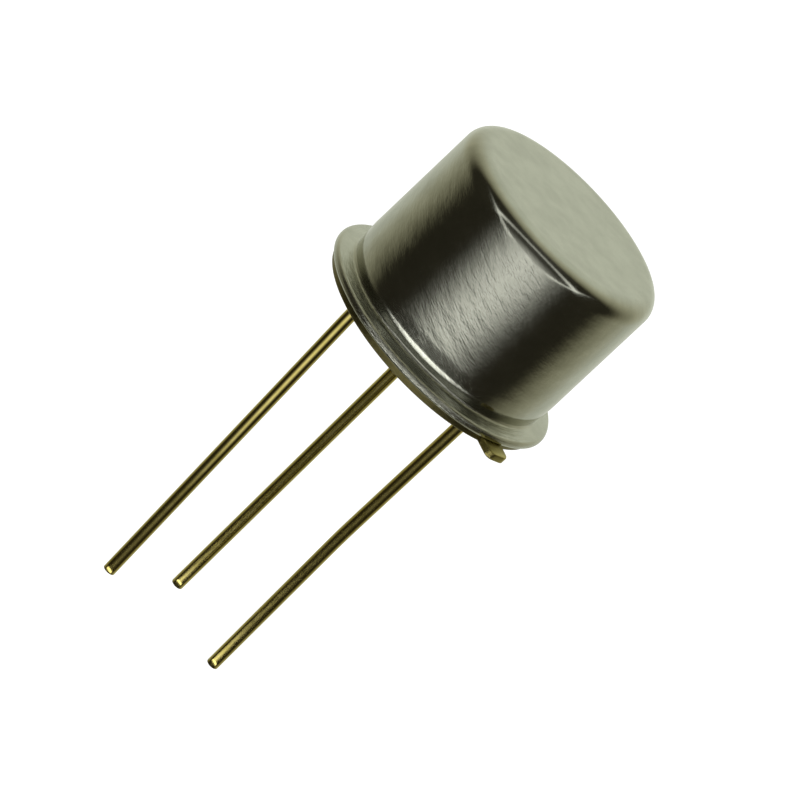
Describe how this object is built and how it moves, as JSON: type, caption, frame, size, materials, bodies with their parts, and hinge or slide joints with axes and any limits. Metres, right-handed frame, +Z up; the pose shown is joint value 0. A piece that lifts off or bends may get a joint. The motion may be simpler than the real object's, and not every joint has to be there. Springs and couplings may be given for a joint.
{
  "type": "pnp transistor",
  "caption": "PNP transistor in a round welded metal can with a flared rim, an index tab and gold-plated wire leads below a glass-sealed header.",
  "frame": {"origin": "centre of the seating plane, which is the flat underside of the header's rim", "axes": "+Z up the can's axis to its flat top, so the leads point to -Z; +X towards the emitter lead, +Y towards the base lead, -X towards the collector lead, the index tab halfway between +X and -Y"},
  "size_m": [0.0094, 0.0094, 0.0202],
  "materials": {
    "nickel_plated_steel": "drawn and nickel plated, dull satin",
    "gold_plated_header": "gold plated over an iron-nickel-cobalt alloy, satin",
    "seal_glass": "fused sealing glass, dark and glossy",
    "gold_plated_lead": "gold plated drawn wire, satin",
    "gold_silicon_solder": "gold-silicon alloy, dull",
    "silicon": "polished silicon under a thin oxide",
    "aluminium_film": "vapour-coated aluminium film",
    "aluminium_wire": "fine drawn wire"
  },
  "bodies": {
    "root": {"cap": "nickel_plated_steel", "header_eyelet": "gold_plated_header", "glass_seal": "seal_glass", "emitter_lead": "gold_plated_lead", "base_lead": "gold_plated_lead", "collector_lead": "gold_plated_lead", "die_solder": "gold_silicon_solder", "silicon_die": "silicon", "emitter_contact": "aluminium_film", "base_contact": "aluminium_film", "emitter_bond_wire": "aluminium_wire", "base_bond_wire": "aluminium_wire"}
  },
  "joints": []
}
